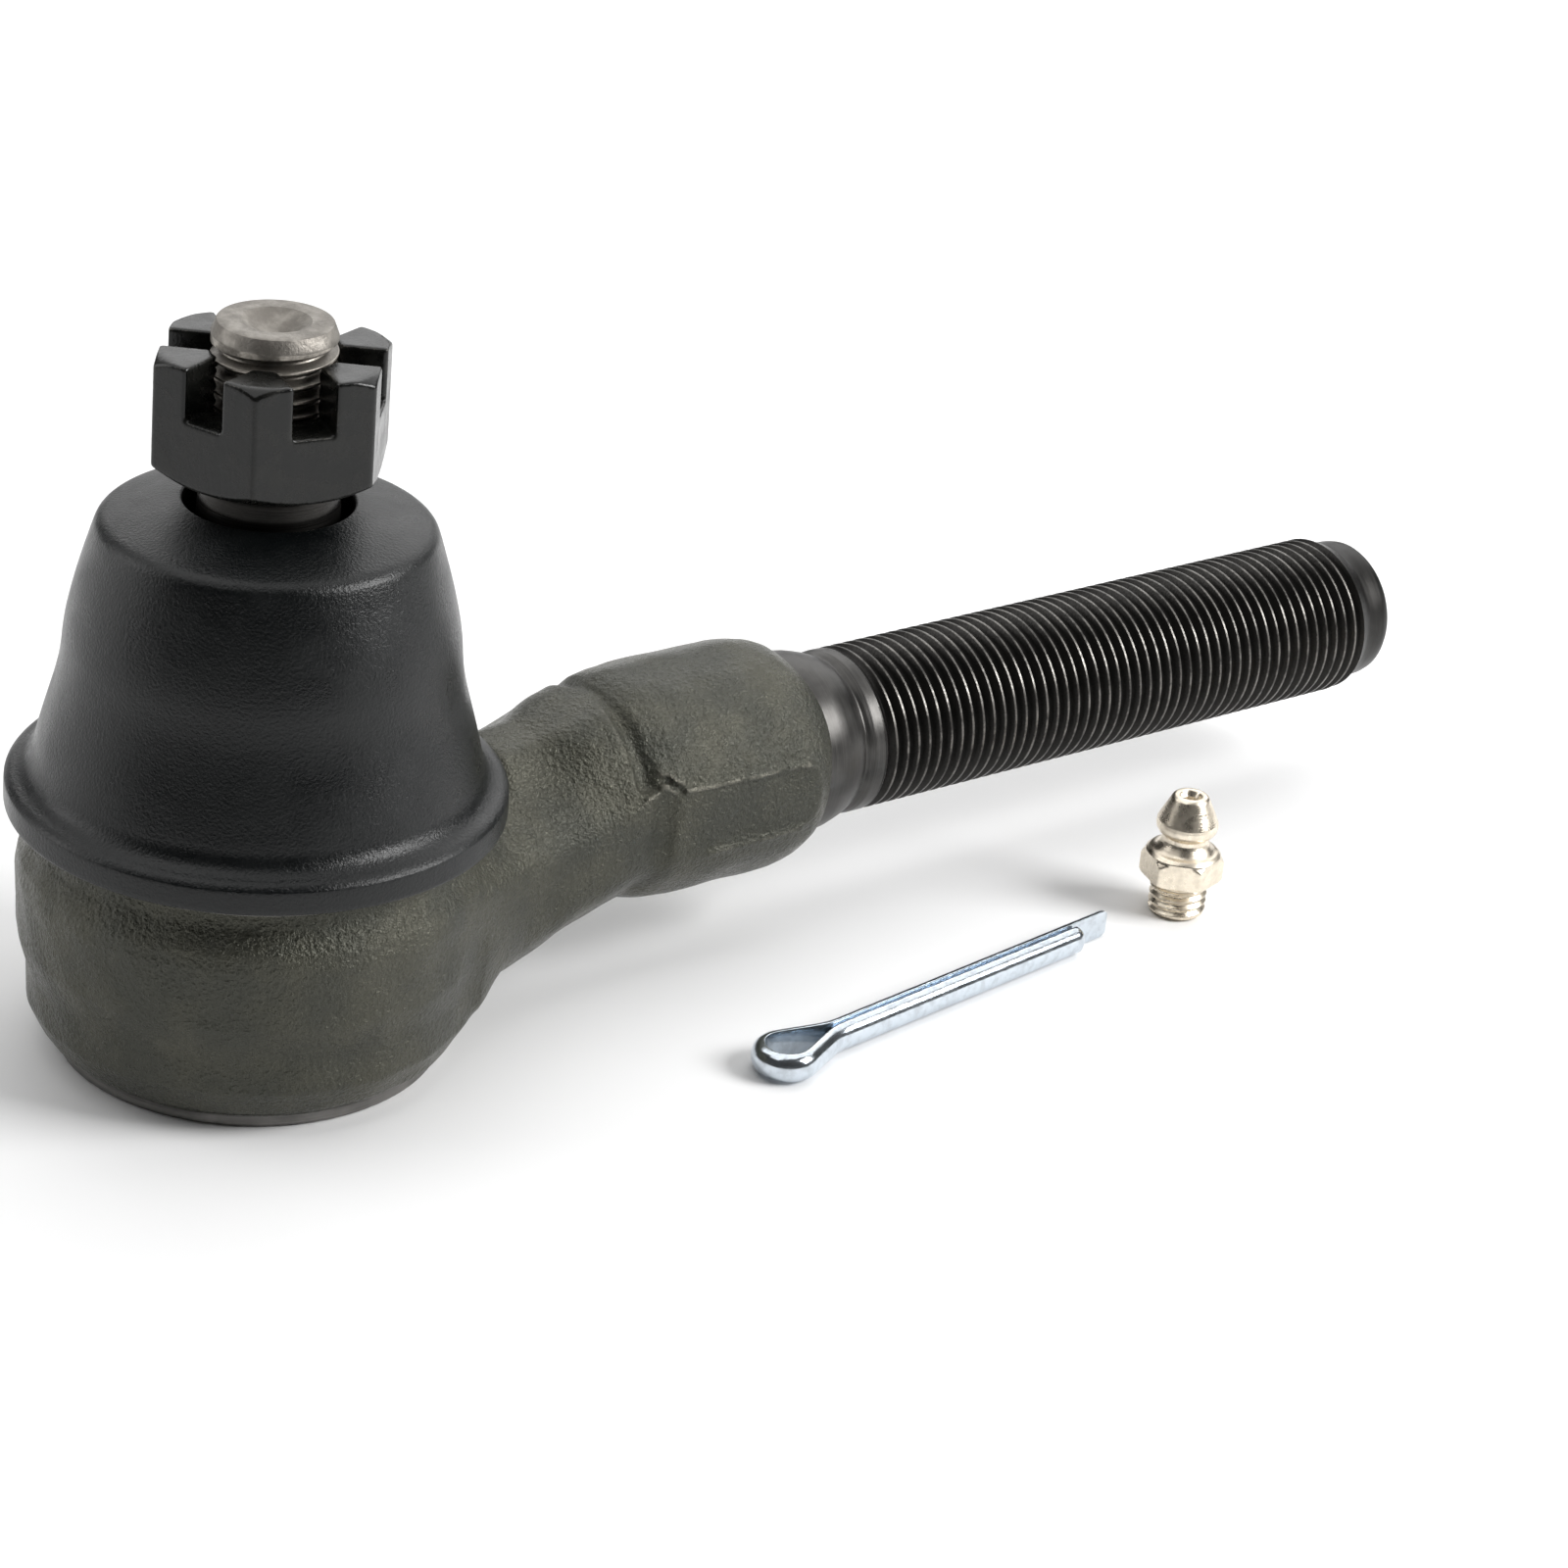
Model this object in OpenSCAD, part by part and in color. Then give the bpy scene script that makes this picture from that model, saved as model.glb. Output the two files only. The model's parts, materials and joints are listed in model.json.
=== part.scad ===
// Tie rod end: greasable ball joint with a male threaded shank.
// Frame: millimetres, +Z up along the stud, the shank runs along +X,
// origin on the stud axis at the level of the flat lower rim of the socket.
// The cotter pin and the grease fitting are loose kit pieces that stand
// on the same level beside the shank.

/* [Ball joint] */
// Diameter of the ball on the stud
ball_d = 25.4; // [20:0.1:32]
// Wall of the two bearing cups around the ball
bearing_wall = 4.6; // [3.8:0.1:6]
// Wall of the forged socket around the bearings
socket_wall = 6; // [4.8:0.1:8]
// Tilt of the stud each way from straight up, in degrees
max_tilt = 22; // [10:1:24]

/* [Shank] */
// Outside diameter of the shank thread
shank_d = 18; // [14:0.5:24]
// Distance from the stud axis to the tip of the shank
shank_reach = 148.2; // [110:1:190]
// Length of the plain chamfered tip
tip_length = 5.2; // [3:0.1:7]
// Length of the forged block with the two wrench flats
block_length = 24.5; // [18:0.1:32]
// Clear length of the neck between the socket and the wrench block
neck_length = 16.7; // [12:0.1:26]

/* [Stud] */
// Outside diameter of the stud thread
stud_d = 12; // [10:0.5:16]
// Diameter of the plain seat at the small end of the taper
taper_small_d = 13.4; // [12.6:0.1:18]
// Taper of the seat, growth in diameter over length
taper_ratio = 0.1; // [0.08:0.01:0.14]
// Height of the stud tip above the ball centre
stud_reach = 57.9; // [50:0.1:72]
// Length of the threaded end of the stud
stud_thread_length = 15.2; // [13:0.1:20]

/* [Castle nut] */
// Distance across the flats of the nut
nut_flats = 20.8; // [18:0.1:28]
// Full height of the nut
nut_height = 11.9; // [9:0.1:13]
// Depth of the castle slots
slot_depth = 5.2; // [4.5:0.1:6]
// Turn of the nut about the stud, in degrees
nut_turn = 20.9; // [0:0.1:60]

/* [Cotter pin] */
// Diameter of the closed cotter pin
pin_d = 3.2; // [2.5:0.1:4]
// Length of the longer leg below the eye
pin_length = 44; // [32:0.5:60]

/* [Dust boot] */
// Height of the boot above its seat on the socket
boot_height = 32; // [28:0.1:38]
// Wall thickness of the rubber
boot_wall = 1.8; // [1.4:0.1:2.4]
// Diameter of the opening at the top of the boot
boot_mouth_d = 16.4; // [15.4:0.1:20]

/* [Grease fitting] */
// Outside diameter of the fitting thread
fitting_d = 6.4; // [5.5:0.1:8]
// Distance across the flats of the fitting
fitting_flats = 8; // [7.8:0.1:12]

/* [Clearances] */
// Radial running clearance between the ball and its cups
ball_clearance = 0.03; // [0.02:0.005:0.08]
// Radial fit of the bearings and the cover in the socket
seat_clearance = 0.04; // [0.02:0.005:0.08]
// Radial clearance of the nut on the stud
nut_clearance = 0.05; // [0.02:0.005:0.08]
// Radial clearance of the boot rim on the socket spigot
boot_clearance = 0.06; // [0.02:0.005:0.09]

/* [Hidden] */
$fn = 96;

// socket, heights from the stand plane up
ball_r = ball_d / 2;
lip_height = 1.3;
cover_thick = 3.1;
cover_bottom = lip_height;
cover_top = cover_bottom + cover_thick;
ball_gap = 0.9;
joint_z = cover_top + ball_gap + ball_r;
bearing_r = ball_r + bearing_wall;
bore_r = bearing_r + seat_clearance;
socket_r = bore_r + socket_wall;
spring_height = 2.6;
spring_thick = 1.1;
lower_bottom = cover_top + spring_height;
bearing_split = 0.4;
lower_top = joint_z - bearing_split;
cup_hole_r = ball_r * 0.68;
upper_bottom = joint_z + 0.1;

// stud neck and the opening that lets it lean over
stud_r = stud_d / 2;
taper_r = max(taper_small_d / 2, stud_r + 0.7);
neck_r = min(taper_r + 0.1, ball_r * 0.62);
neck_z = sqrt(ball_r * ball_r - neck_r * neck_r);
seat_top = neck_z * cos(max_tilt) - neck_r * sin(max_tilt) - 0.35;
seat_top_r = sqrt(ball_r * ball_r - seat_top * seat_top);
upper_top = joint_z + seat_top + 1.7;
upper_shoulder = upper_top - 3.75;
flare = tan(max_tilt + 5);
upper_mouth_r = seat_top_r + (upper_top - joint_z - seat_top) * flare;
shoulder_run = bearing_r - upper_mouth_r - 2.2;
socket_top = upper_top + 2.1;
mouth_r = upper_mouth_r + 0.5;
mouth_top_r = mouth_r + (socket_top - upper_top) * flare;

// spigot and rim seat for the boot
spigot_r = socket_r - 1.8;
spigot_bottom = socket_top - 4.85;
rim_bottom = socket_top - 2.95;
rim_height = 2.7;
rim_top = rim_bottom + rim_height;
rim_r = spigot_r + boot_clearance + 2.98;
boot_foot_r = spigot_r - 0.1;

// shank, distances along +X
block_r = shank_d / 2 + 3.5;
block_flat = block_r - 0.65;
block_start = socket_r + neck_length;
block_end = block_start + block_length;
collar_r = shank_d / 2 + 0.9;
collar_end = block_end + 5.5;
relief_r = shank_d / 2 - 0.3;
relief_end = collar_end + 0.8;
tip_start = shank_reach - tip_length;
tip_r = shank_d / 2 - 1;

// neck between socket and block
neck_top_low = rim_bottom - 0.7;
neck_half = block_flat - 0.2;
neck_root_half = socket_r * 0.74;

// stud, heights above the ball centre
thread_base = stud_reach - stud_thread_length;
taper_base = neck_z + 8;
taper_base_r = taper_r + (thread_base - 1 - taper_base) * taper_ratio / 2;
nut_base = thread_base + 0.55;
nut_corner_r = nut_flats / sqrt(3);
slot_w = pin_d + 0.9;
slot_floor = nut_base + nut_height - slot_depth;
hole_d = pin_d + 0.4;
hole_z = slot_floor + hole_d / 2 + 0.75;
tip_chamfer = 1.2;
dimple_r = 3.3;
nut_bore_r = stud_r + nut_clearance;

// boot, heights above its rim
boot_top = rim_bottom + boot_height;
boot_mouth_r = max(boot_mouth_d / 2, taper_r + 1.5);
boot_top_r = boot_mouth_r + 7.8;
boot_crown = 2;
lip_z = boot_top - 5.4;
lip_end = lip_z - 5.2;
lip_in_r = taper_at(lip_end - joint_z) + 0.15;
lip_out_r = lip_in_r + 1.5;
ring_d = 1.4;
ring_z = lip_end + 1.9;
ring_r = lip_out_r + ring_d / 2 + 0.03;
insert_thick = 0.8;
insert_bottom = rim_bottom + 0.5;
insert_top = rim_top - 0.5;

// cover port and fitting
port_r = fitting_d / 2 - 0.35;
port_boss_r = fitting_d / 2 + 3;
fit_pin_len = 4.2;
fit_hex_h = 2.9;
fit_total = 14.1;
fit_ball_d = 2;
fit_core_r = 1.3;
fit_corner_r = fitting_flats / sqrt(3);
fit_mouth_r = 0.75;
fit_seat_z = fit_total - 1.8;
fit_ball_r = fit_ball_d / 2;
fit_ball_z = fit_seat_z - sqrt(fit_ball_r * fit_ball_r - fit_mouth_r * fit_mouth_r) - 0.02;
fit_wire = 0.4;
fit_crimp_r = 0.85;
fit_crimp_z = 5.9;

// places of the loose pieces on the stand plane
pin_x = 48.4;
pin_y = -(socket_r + 8.4);
pin_turn = 7.8;
fit_x = 103.2;
fit_y = -(block_r + 11.9);
eye_in = pin_d * 0.72;
eye_wire = pin_d * 0.42;
eye_back = pin_d * 1.55;
pin_r = pin_d / 2;
pin_slit = 0.5;
short_leg = pin_length - 5.2;

// colours
c_forged = [0.27, 0.27, 0.25];
c_steel = [0.42, 0.40, 0.37];
c_black = [0.14, 0.14, 0.14];
c_rubber = [0.09, 0.09, 0.10];
c_zinc = [0.70, 0.75, 0.80];
c_nickel = [0.80, 0.77, 0.70];
c_bronze = [0.62, 0.50, 0.32];
c_spring = [0.34, 0.36, 0.40];

// radius of the tapered seat at a height above the ball centre
function taper_at(z) =
    taper_r + max(0, thread_base - 1 - z) * taper_ratio / 2;

// outside of the forged socket, bottom rim to boot spigot
module socket_outer() {
    rotate_extrude()
        polygon([[0, 0], [socket_r - 4, 0], [socket_r - 4, 1.3],
                 [socket_r - 2.3, 2.3], [socket_r - 1.1, 5],
                 [socket_r - 1.1, joint_z * 0.5],
                 [socket_r - 0.1, joint_z * 0.72],
                 [socket_r, joint_z + 1], [socket_r - 0.2, joint_z + 2.6],
                 [socket_r - 1.5, spigot_bottom - 1.1], [spigot_r, spigot_bottom],
                 [spigot_r, socket_top - 0.6],
                 [spigot_r - 0.6, socket_top], [0, socket_top]]);
}

// everything cut out of the socket: cover seat, bore, shoulder, mouth
module socket_inner() {
    rotate_extrude()
        polygon([[0, -1], [bore_r - 1.9, -1], [bore_r - 1.5, lip_height],
                 [bore_r, lip_height], [bore_r, upper_shoulder + 0.06],
                 [bore_r - shoulder_run, upper_top + 0.06],
                 [mouth_r, upper_top + 0.06],
                 [mouth_top_r, socket_top + 0.5], [0, socket_top + 0.5]]);
}

// forged bar from the socket to the wrench block
module neck() {
    reach = block_start + 4;
    intersection() {
        union() {
            neck_root();
            translate([0, 0, joint_z])
                rotate([90, 0, 90])
                    linear_extrude(reach)
                        neck_section();
        }
        translate([0, 0, joint_z - block_r])
            linear_extrude(2 * block_r)
                polygon([[0, -neck_root_half], [socket_r * 0.7, -neck_root_half],
                         [socket_r, -socket_r * 0.64],
                         [socket_r + 6, -neck_half - 0.9],
                         [block_start - 3, -neck_half], [reach, -neck_half],
                         [reach, neck_half], [block_start - 3, neck_half],
                         [socket_r + 6, neck_half + 0.9],
                         [socket_r, socket_r * 0.64],
                         [socket_r * 0.7, neck_root_half], [0, neck_root_half]]);
        rotate([90, 0, 0])
            linear_extrude(4 * socket_r, center = true)
                polygon([[0, joint_z - block_r + 0.6],
                         [block_start - 11, joint_z - block_r + 0.7],
                         [block_start + 1, joint_z - block_r + 2.2],
                         [reach, joint_z - block_r + 2.2],
                         [reach, joint_z + block_r - 1.8],
                         [block_start - 1, joint_z + block_r - 2],
                         [block_start - 4, joint_z + block_r - 2.8],
                         [socket_r + 9, joint_z + block_r - 3.9],
                         [rim_r + 2, joint_z + block_r - 4],
                         [rim_r + 0.6, neck_top_low],
                         [0, neck_top_low]]);
    }
}

// roof-shaped section of the neck, seen along the shank
module neck_section() {
    b = block_r;
    polygon([[-b * 1.1, b * 0.24], [-b * 1.1, -b * 0.45], [-b * 0.72, -b],
             [b * 0.72, -b], [b * 1.1, -b * 0.45], [b * 1.1, b * 0.24],
             [b * 0.36, b * 0.72], [b * 0.3, b], [-b * 0.3, b],
             [-b * 0.36, b * 0.72]]);
}

// wide root of the neck that fades into the bar
module neck_root() {
    end = block_start - 5;
    intersection() {
        translate([0, 0, joint_z - block_r])
            linear_extrude(2 * block_r)
                polygon([[0, -neck_root_half], [socket_r * 0.7, -neck_root_half],
                         [end, -block_r * 0.6], [end, block_r * 0.6],
                         [socket_r * 0.7, neck_root_half], [0, neck_root_half]]);
        rotate([90, 0, 90])
            linear_extrude(end)
                polygon([[-socket_r, joint_z - 7], [-10, joint_z - block_r],
                         [10, joint_z - block_r], [socket_r, joint_z - 7],
                         [socket_r, joint_z + 2.4],
                         [block_r * 0.34, joint_z + block_r * 0.72],
                         [-block_r * 0.34, joint_z + block_r * 0.72],
                         [-socket_r, joint_z + 2.4]]);
    }
}

// turned and forged rod along +X: block, collars, thread, chamfered tip
module rod() {
    translate([0, 0, joint_z])
        rotate([0, 90, 0])
            rotate_extrude()
                polygon([[0, block_start], [block_r - 1.5, block_start],
                         [block_r - 0.5, block_start + 2], [block_r, block_start + 5],
                         [block_r, block_end - 6], [block_r - 0.6, block_end - 3.1],
                         [block_r - 1.2, block_end - 1.8],
                         [block_r - 2, block_end - 0.6],
                         [block_r - 2.55, block_end], [collar_r, block_end],
                         [collar_r, collar_end - 3.6],
                         [collar_r - 0.5, collar_end - 1.5],
                         [relief_r, collar_end], [relief_r, relief_end - 0.4],
                         [shank_d / 2, relief_end], [shank_d / 2, tip_start],
                         [tip_r, tip_start + 1.4], [tip_r - 0.1, shank_reach - 0.9],
                         [tip_r - 1, shank_reach], [0, shank_reach]]);
}

// two wrench flats milled on the sides of the block
module wrench_flats() {
    for (s = [-1, 1])
        translate([block_start + 3.6, s > 0 ? block_flat : -block_flat - 5,
                   joint_z - block_r - 1])
            cube([block_length + 1, 5, 2 * block_r + 2]);
}

module housing() {
    color(c_forged)
        difference() {
            union() {
                socket_outer();
                neck();
                difference() {
                    rod();
                    wrench_flats();
                }
            }
            socket_inner();
            stand_clear();
        }
}

// keeps the neck out of the space around the boot rim
module stand_clear() {
    translate([0, 0, neck_top_low])
        difference() {
            cylinder(r = rim_r + 0.5, h = 12);
            translate([0, 0, -1])
                cylinder(r = spigot_r, h = 14);
        }
}

// bottom cap, crimped in, with the threaded grease port
module cover_plate() {
    color(c_steel)
        difference() {
            rotate_extrude()
                polygon([[0, cover_bottom], [port_boss_r, cover_bottom],
                         [port_boss_r + 1, cover_bottom + 0.8],
                         [bore_r - 5, cover_bottom + 0.8],
                         [bore_r - 4.2, cover_bottom],
                         [bearing_r, cover_bottom], [bearing_r, cover_top],
                         [0, cover_top]]);
            translate([0, 0, cover_bottom - 1])
                cylinder(r = port_r, h = cover_thick + 2);
        }
}

// conical disc spring between the cover and the lower cup
module preload_spring() {
    rise = spring_height - spring_thick;
    inner = max(port_boss_r + 3.2, cup_hole_r + 0.8);
    color(c_spring)
        rotate_extrude()
            polygon([[bearing_r - 1.2, cover_top],
                     [bearing_r - 1.2, cover_top + spring_thick],
                     [inner, cover_top + rise + spring_thick],
                     [inner, cover_top + rise]]);
}

// sphere that the running surfaces of both cups are cut with
module ball_space() {
    translate([0, 0, joint_z])
        sphere(r = ball_r + ball_clearance);
}

module lower_bearing() {
    color(c_bronze)
        difference() {
            translate([0, 0, lower_bottom])
                cylinder(r = bearing_r, h = lower_top - lower_bottom);
            ball_space();
            translate([0, 0, lower_bottom - 1])
                cylinder(r = cup_hole_r, h = 4);
        }
}

module upper_bearing() {
    color(c_bronze)
        difference() {
            rotate_extrude()
                polygon([[0, upper_bottom], [bearing_r, upper_bottom],
                         [bearing_r, upper_shoulder],
                         [bearing_r - shoulder_run, upper_top], [0, upper_top]]);
            ball_space();
            translate([0, 0, joint_z + seat_top])
                cylinder(r1 = seat_top_r, r2 = upper_mouth_r + flare,
                         h = upper_top - joint_z - seat_top + 1);
        }
}

// ball, neck, tapered seat and threaded end in one piece
module ball_stud() {
    color(c_steel)
        translate([0, 0, joint_z])
            difference() {
                union() {
                    sphere(r = ball_r);
                    rotate_extrude()
                        polygon([[0, 0], [neck_r, 0], [neck_r, neck_z + 2.4],
                                 [taper_base_r - 0.1, taper_base - 0.4],
                                 [taper_base_r, taper_base],
                                 [taper_r, thread_base - 1],
                                 [stud_r, thread_base],
                                 [stud_r, stud_reach - tip_chamfer],
                                 [stud_r - 0.45, stud_reach], [0, stud_reach]]);
                }
                translate([0, 0, stud_reach - 1.5])
                    cylinder(r1 = 0.4, r2 = dimple_r + 0.4, h = 1.8);
                rotate([0, 0, nut_turn + 30])
                    translate([0, 0, hole_z])
                        rotate([90, 0, 0])
                            cylinder(d = hole_d, h = 3 * stud_r, center = true);
            }
}

// hexagon nut with six slots in its crown
module castle_nut() {
    color(c_black)
        translate([0, 0, joint_z + nut_base])
            rotate([0, 0, nut_turn])
                difference() {
                    intersection() {
                        rotate([0, 0, 30])
                            cylinder(r = nut_corner_r, h = nut_height, $fn = 6);
                        rotate_extrude()
                            polygon([[0, 0], [nut_flats / 2 - 0.3, 0],
                                     [nut_corner_r + 0.1, 1.3],
                                     [nut_corner_r + 0.1, nut_height - 0.8],
                                     [nut_flats / 2 + 0.6, nut_height],
                                     [0, nut_height]]);
                    }
                    translate([0, 0, -1])
                        cylinder(r = nut_bore_r, h = nut_height + 2);
                    for (a = [0, 60, 120])
                        rotate([0, 0, a])
                            translate([-nut_flats, -slot_w / 2,
                                       nut_height - slot_depth])
                                cube([2 * nut_flats, slot_w, slot_depth + 1]);
                }
}

// moulded rubber boot: rim, bowed wall, coned top, inner sealing sleeve
module dust_boot() {
    z0 = rim_bottom;
    z1 = boot_top - boot_crown;
    h = z1 - z0;
    foot_in = spigot_r + boot_clearance;
    color(c_rubber)
        rotate_extrude()
            polygon([[foot_in, z0], [rim_r, z0], [rim_r, rim_top],
                     [rim_r - 1.7, rim_top + 0.6],
                     [boot_foot_r + 0.4, z0 + h * 0.16],
                     [boot_foot_r - 0.3, z0 + h * 0.27],
                     [boot_foot_r - 1.4, z0 + h * 0.4],
                     [boot_foot_r - 2.1, z0 + h * 0.53],
                     [boot_foot_r - 2.6, z0 + h * 0.66],
                     [boot_foot_r - 3.6, z0 + h * 0.8],
                     [boot_top_r + 0.7, z0 + h * 0.93],
                     [boot_top_r - 0.1, z1 - 0.4], [boot_top_r - 1.4, z1 + 0.2],
                     [boot_mouth_r + 0.4, boot_top], [boot_mouth_r, boot_top - 0.4],
                     [boot_mouth_r, lip_z + 0.8],
                     [lip_in_r, lip_z - 0.6], [lip_in_r, lip_end],
                     [lip_out_r + 0.4, lip_end], [lip_out_r + 0.4, lip_end + 0.9],
                     [lip_out_r, lip_end + 1.1], [lip_out_r, lip_z - 1],
                     [boot_top_r - boot_wall - 2, lip_z - 0.6],
                     [boot_top_r - boot_wall, lip_z - 2.6],
                     [boot_top_r - boot_wall + 0.9, z0 + h * 0.78],
                     [boot_foot_r - 2.6 - boot_wall, z0 + h * 0.64],
                     [boot_foot_r - 2 - boot_wall, z0 + h * 0.5],
                     [boot_foot_r - 1.1 - boot_wall, z0 + h * 0.34],
                     [boot_foot_r - 0.4 - boot_wall, socket_top + 0.5],
                     [foot_in - 1.2, socket_top + 0.1],
                     [foot_in - 0.6, socket_top + 0.1],
                     [foot_in, socket_top - 0.5], [foot_in, insert_top],
                     [foot_in + insert_thick, insert_top],
                     [foot_in + insert_thick, insert_bottom],
                     [foot_in, insert_bottom]]);
}

// steel ring moulded into the inside of the boot rim
module boot_insert_ring() {
    inner = spigot_r + boot_clearance;
    color(c_steel)
        translate([0, 0, insert_bottom])
            difference() {
                cylinder(r = inner + insert_thick, h = insert_top - insert_bottom);
                translate([0, 0, -1])
                    cylinder(r = inner, h = rim_height + 2);
            }
}

// spring wire ring around the sealing sleeve inside the boot
module boot_neck_ring() {
    color(c_spring)
        translate([0, 0, ring_z])
            rotate_extrude()
                translate([ring_r, 0])
                    circle(d = ring_d, $fn = 24);
}

// plan outline of the pin eye, a drop that closes towards the legs
module eye_drop(grow) {
    translate([-eye_back, 0, 0])
        cylinder(r = eye_in + grow, h = pin_d * 2, center = true);
    linear_extrude(pin_d * 2, center = true)
        polygon([[-eye_back, -eye_in - grow], [-eye_back, eye_in + grow],
                 [0.6, pin_slit / 2 + grow], [0.6, -pin_slit / 2 - grow]]);
}

// loose cotter pin: eye, long leg and short leg with a slit between
module cotter_pin() {
    color(c_zinc)
        translate([pin_x, pin_y, pin_r])
            rotate([0, 0, pin_turn])
                difference() {
                    union() {
                        rotate([0, 90, 0])
                            cylinder(r = pin_r, h = pin_length);
                        intersection() {
                            eye_drop(eye_wire);
                            cube([6 * pin_d, 6 * pin_d, pin_d * 0.94], center = true);
                        }
                    }
                    eye_drop(0);
                    translate([-0.5, -pin_slit / 2, -pin_d])
                        cube([pin_length + 2, pin_slit, 2 * pin_d]);
                    translate([short_leg, -pin_d - pin_slit / 2, -pin_d])
                        cube([pin_length, pin_d + pin_slit, 2 * pin_d]);
                }
}

// loose grease fitting standing on its thread
module fitting_body() {
    z_hex = fit_pin_len;
    z_neck = z_hex + fit_hex_h;
    head = fitting_d / 2;
    color(c_nickel)
        translate([fit_x, fit_y, 0])
            difference() {
                union() {
                    rotate_extrude()
                        polygon([[0, 0], [head - 0.5, 0], [head, 0.6],
                                 [head, z_hex - 0.6], [head - 0.4, z_hex - 0.3],
                                 [head - 0.4, z_neck + 0.9],
                                 [head - 0.75, z_neck + 1.9],
                                 [head + 0.1, z_neck + 3.1], [head + 0.1, z_neck + 4],
                                 [1.9, fit_total], [0, fit_total]]);
                    intersection() {
                        translate([0, 0, z_hex])
                            rotate([0, 0, 15])
                                cylinder(r = fit_corner_r, h = fit_hex_h + 1, $fn = 6);
                        rotate_extrude()
                            polygon([[0, z_hex], [fitting_flats / 2 - 0.1, z_hex],
                                     [fit_corner_r + 0.05, z_hex + 0.6],
                                     [fit_corner_r + 0.05, z_neck - 0.9],
                                     [head - 0.1, z_neck + 0.9], [0, z_neck + 0.9]]);
                    }
                }
                translate([0, 0, -1])
                    cylinder(r = fit_crimp_r, h = fit_crimp_z + 2);
                translate([0, 0, fit_crimp_z])
                    cylinder(r = fit_core_r, h = fit_seat_z - fit_crimp_z);
                translate([0, 0, fit_total - 3])
                    cylinder(r = fit_mouth_r, h = 4);
                translate([0, 0, fit_total - 0.5])
                    cylinder(r1 = fit_mouth_r, r2 = 1.3, h = 0.6);
            }
}

// steel check ball that closes the fitting from inside
module fitting_ball() {
    color(c_steel)
        translate([fit_x, fit_y, fit_ball_z])
            sphere(d = fit_ball_d, $fn = 48);
}

// compression spring under the check ball, drawn as touching turns
module fitting_spring() {
    coil_r = fit_core_r - 0.06 - fit_wire / 2;
    reach = fit_ball_r + fit_wire / 2 + 0.01;
    top_turn = fit_ball_z - sqrt(reach * reach - coil_r * coil_r);
    pitch = fit_wire * 0.85;
    turns = floor((top_turn - fit_wire / 2 - fit_crimp_z) / pitch);
    color(c_spring)
        translate([fit_x, fit_y, 0])
            rotate_extrude()
                for (i = [0 : turns])
                    translate([coil_r, top_turn - i * pitch])
                        circle(d = fit_wire, $fn = 16);
}

housing();
cover_plate();
preload_spring();
lower_bearing();
upper_bearing();
ball_stud();
castle_nut();
dust_boot();
boot_insert_ring();
boot_neck_ring();
cotter_pin();
fitting_body();
fitting_ball();
fitting_spring();
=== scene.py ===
"""Tie rod end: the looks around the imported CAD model.

Shapes are worked out in millimetres in the part's own frame: +Z along the stud,
+X along the shank, origin on the stud axis at the lower rim of the socket.
"""

import json
import math

import bpy
import numpy as np
from mathutils import Matrix, Vector


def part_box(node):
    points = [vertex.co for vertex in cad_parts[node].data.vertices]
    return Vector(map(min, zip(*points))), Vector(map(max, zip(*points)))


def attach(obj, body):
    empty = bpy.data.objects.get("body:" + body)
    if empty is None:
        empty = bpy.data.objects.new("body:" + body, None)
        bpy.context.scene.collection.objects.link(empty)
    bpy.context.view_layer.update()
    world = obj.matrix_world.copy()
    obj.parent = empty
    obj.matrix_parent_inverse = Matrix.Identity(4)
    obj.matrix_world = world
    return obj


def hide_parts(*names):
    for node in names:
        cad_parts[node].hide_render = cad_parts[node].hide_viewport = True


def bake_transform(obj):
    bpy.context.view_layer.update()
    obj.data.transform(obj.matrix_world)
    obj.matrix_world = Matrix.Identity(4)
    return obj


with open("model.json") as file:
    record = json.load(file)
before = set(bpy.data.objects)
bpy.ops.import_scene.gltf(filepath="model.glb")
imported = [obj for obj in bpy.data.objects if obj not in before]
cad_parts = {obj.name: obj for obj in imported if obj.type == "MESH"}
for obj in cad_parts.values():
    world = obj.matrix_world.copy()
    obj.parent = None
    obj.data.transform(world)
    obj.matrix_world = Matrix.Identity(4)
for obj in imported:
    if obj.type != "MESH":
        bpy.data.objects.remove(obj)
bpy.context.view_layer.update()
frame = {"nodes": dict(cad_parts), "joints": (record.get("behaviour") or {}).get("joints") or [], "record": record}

MM = 0.001

# ------------------------------------------------------------------ key sizes
joints = {j["name"]: j for j in frame["joints"]}
mounts = {m["name"]: m for m in frame["record"]["mounts"]}


def box_mm(node):
    low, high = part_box(node)
    return np.array(low) / MM, np.array(high) / MM


BALL_Z = joints["stud_tilt"]["pos_m"][2] / MM
SHANK_R = mounts["shank_thread"]["dims"]["r_mm"]
SHANK_END = box_mm("housing")[1][0]
BLOCK_FLAT = 11.85  # shank axis to wrench flat
THREAD_PITCH = 1.5
STUD_R = 6.0
RIM_LOW, RIM_R = box_mm("dust_boot")[0][2], box_mm("dust_boot")[1][0]
BOOT_TOP = box_mm("dust_boot")[1][2]
STUD_TOP = box_mm("ball_stud")[1][2]
NUT_LOW, NUT_HIGH = box_mm("castle_nut")[0][2], box_mm("castle_nut")[1][2]
NUT_TURN = math.radians(20.9)
NUT_FLATS = 20.8  # across flats
SLOT_FLOOR = 67.95
FIT_X, FIT_Y = (box_mm("fitting_ball")[0] + box_mm("fitting_ball")[1])[:2] / 2


# ------------------------------------------------------------------ mesh tools
def smax(a, b, k):
    """Larger of two distances, rounded over k."""
    h = np.clip(0.5 + 0.5 * (a - b) / k, 0, 1)
    return b * (1 - h) + a * h + k * h * (1 - h)


def smin(a, b, k):
    return -smax(-a, -b, k)


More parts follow.
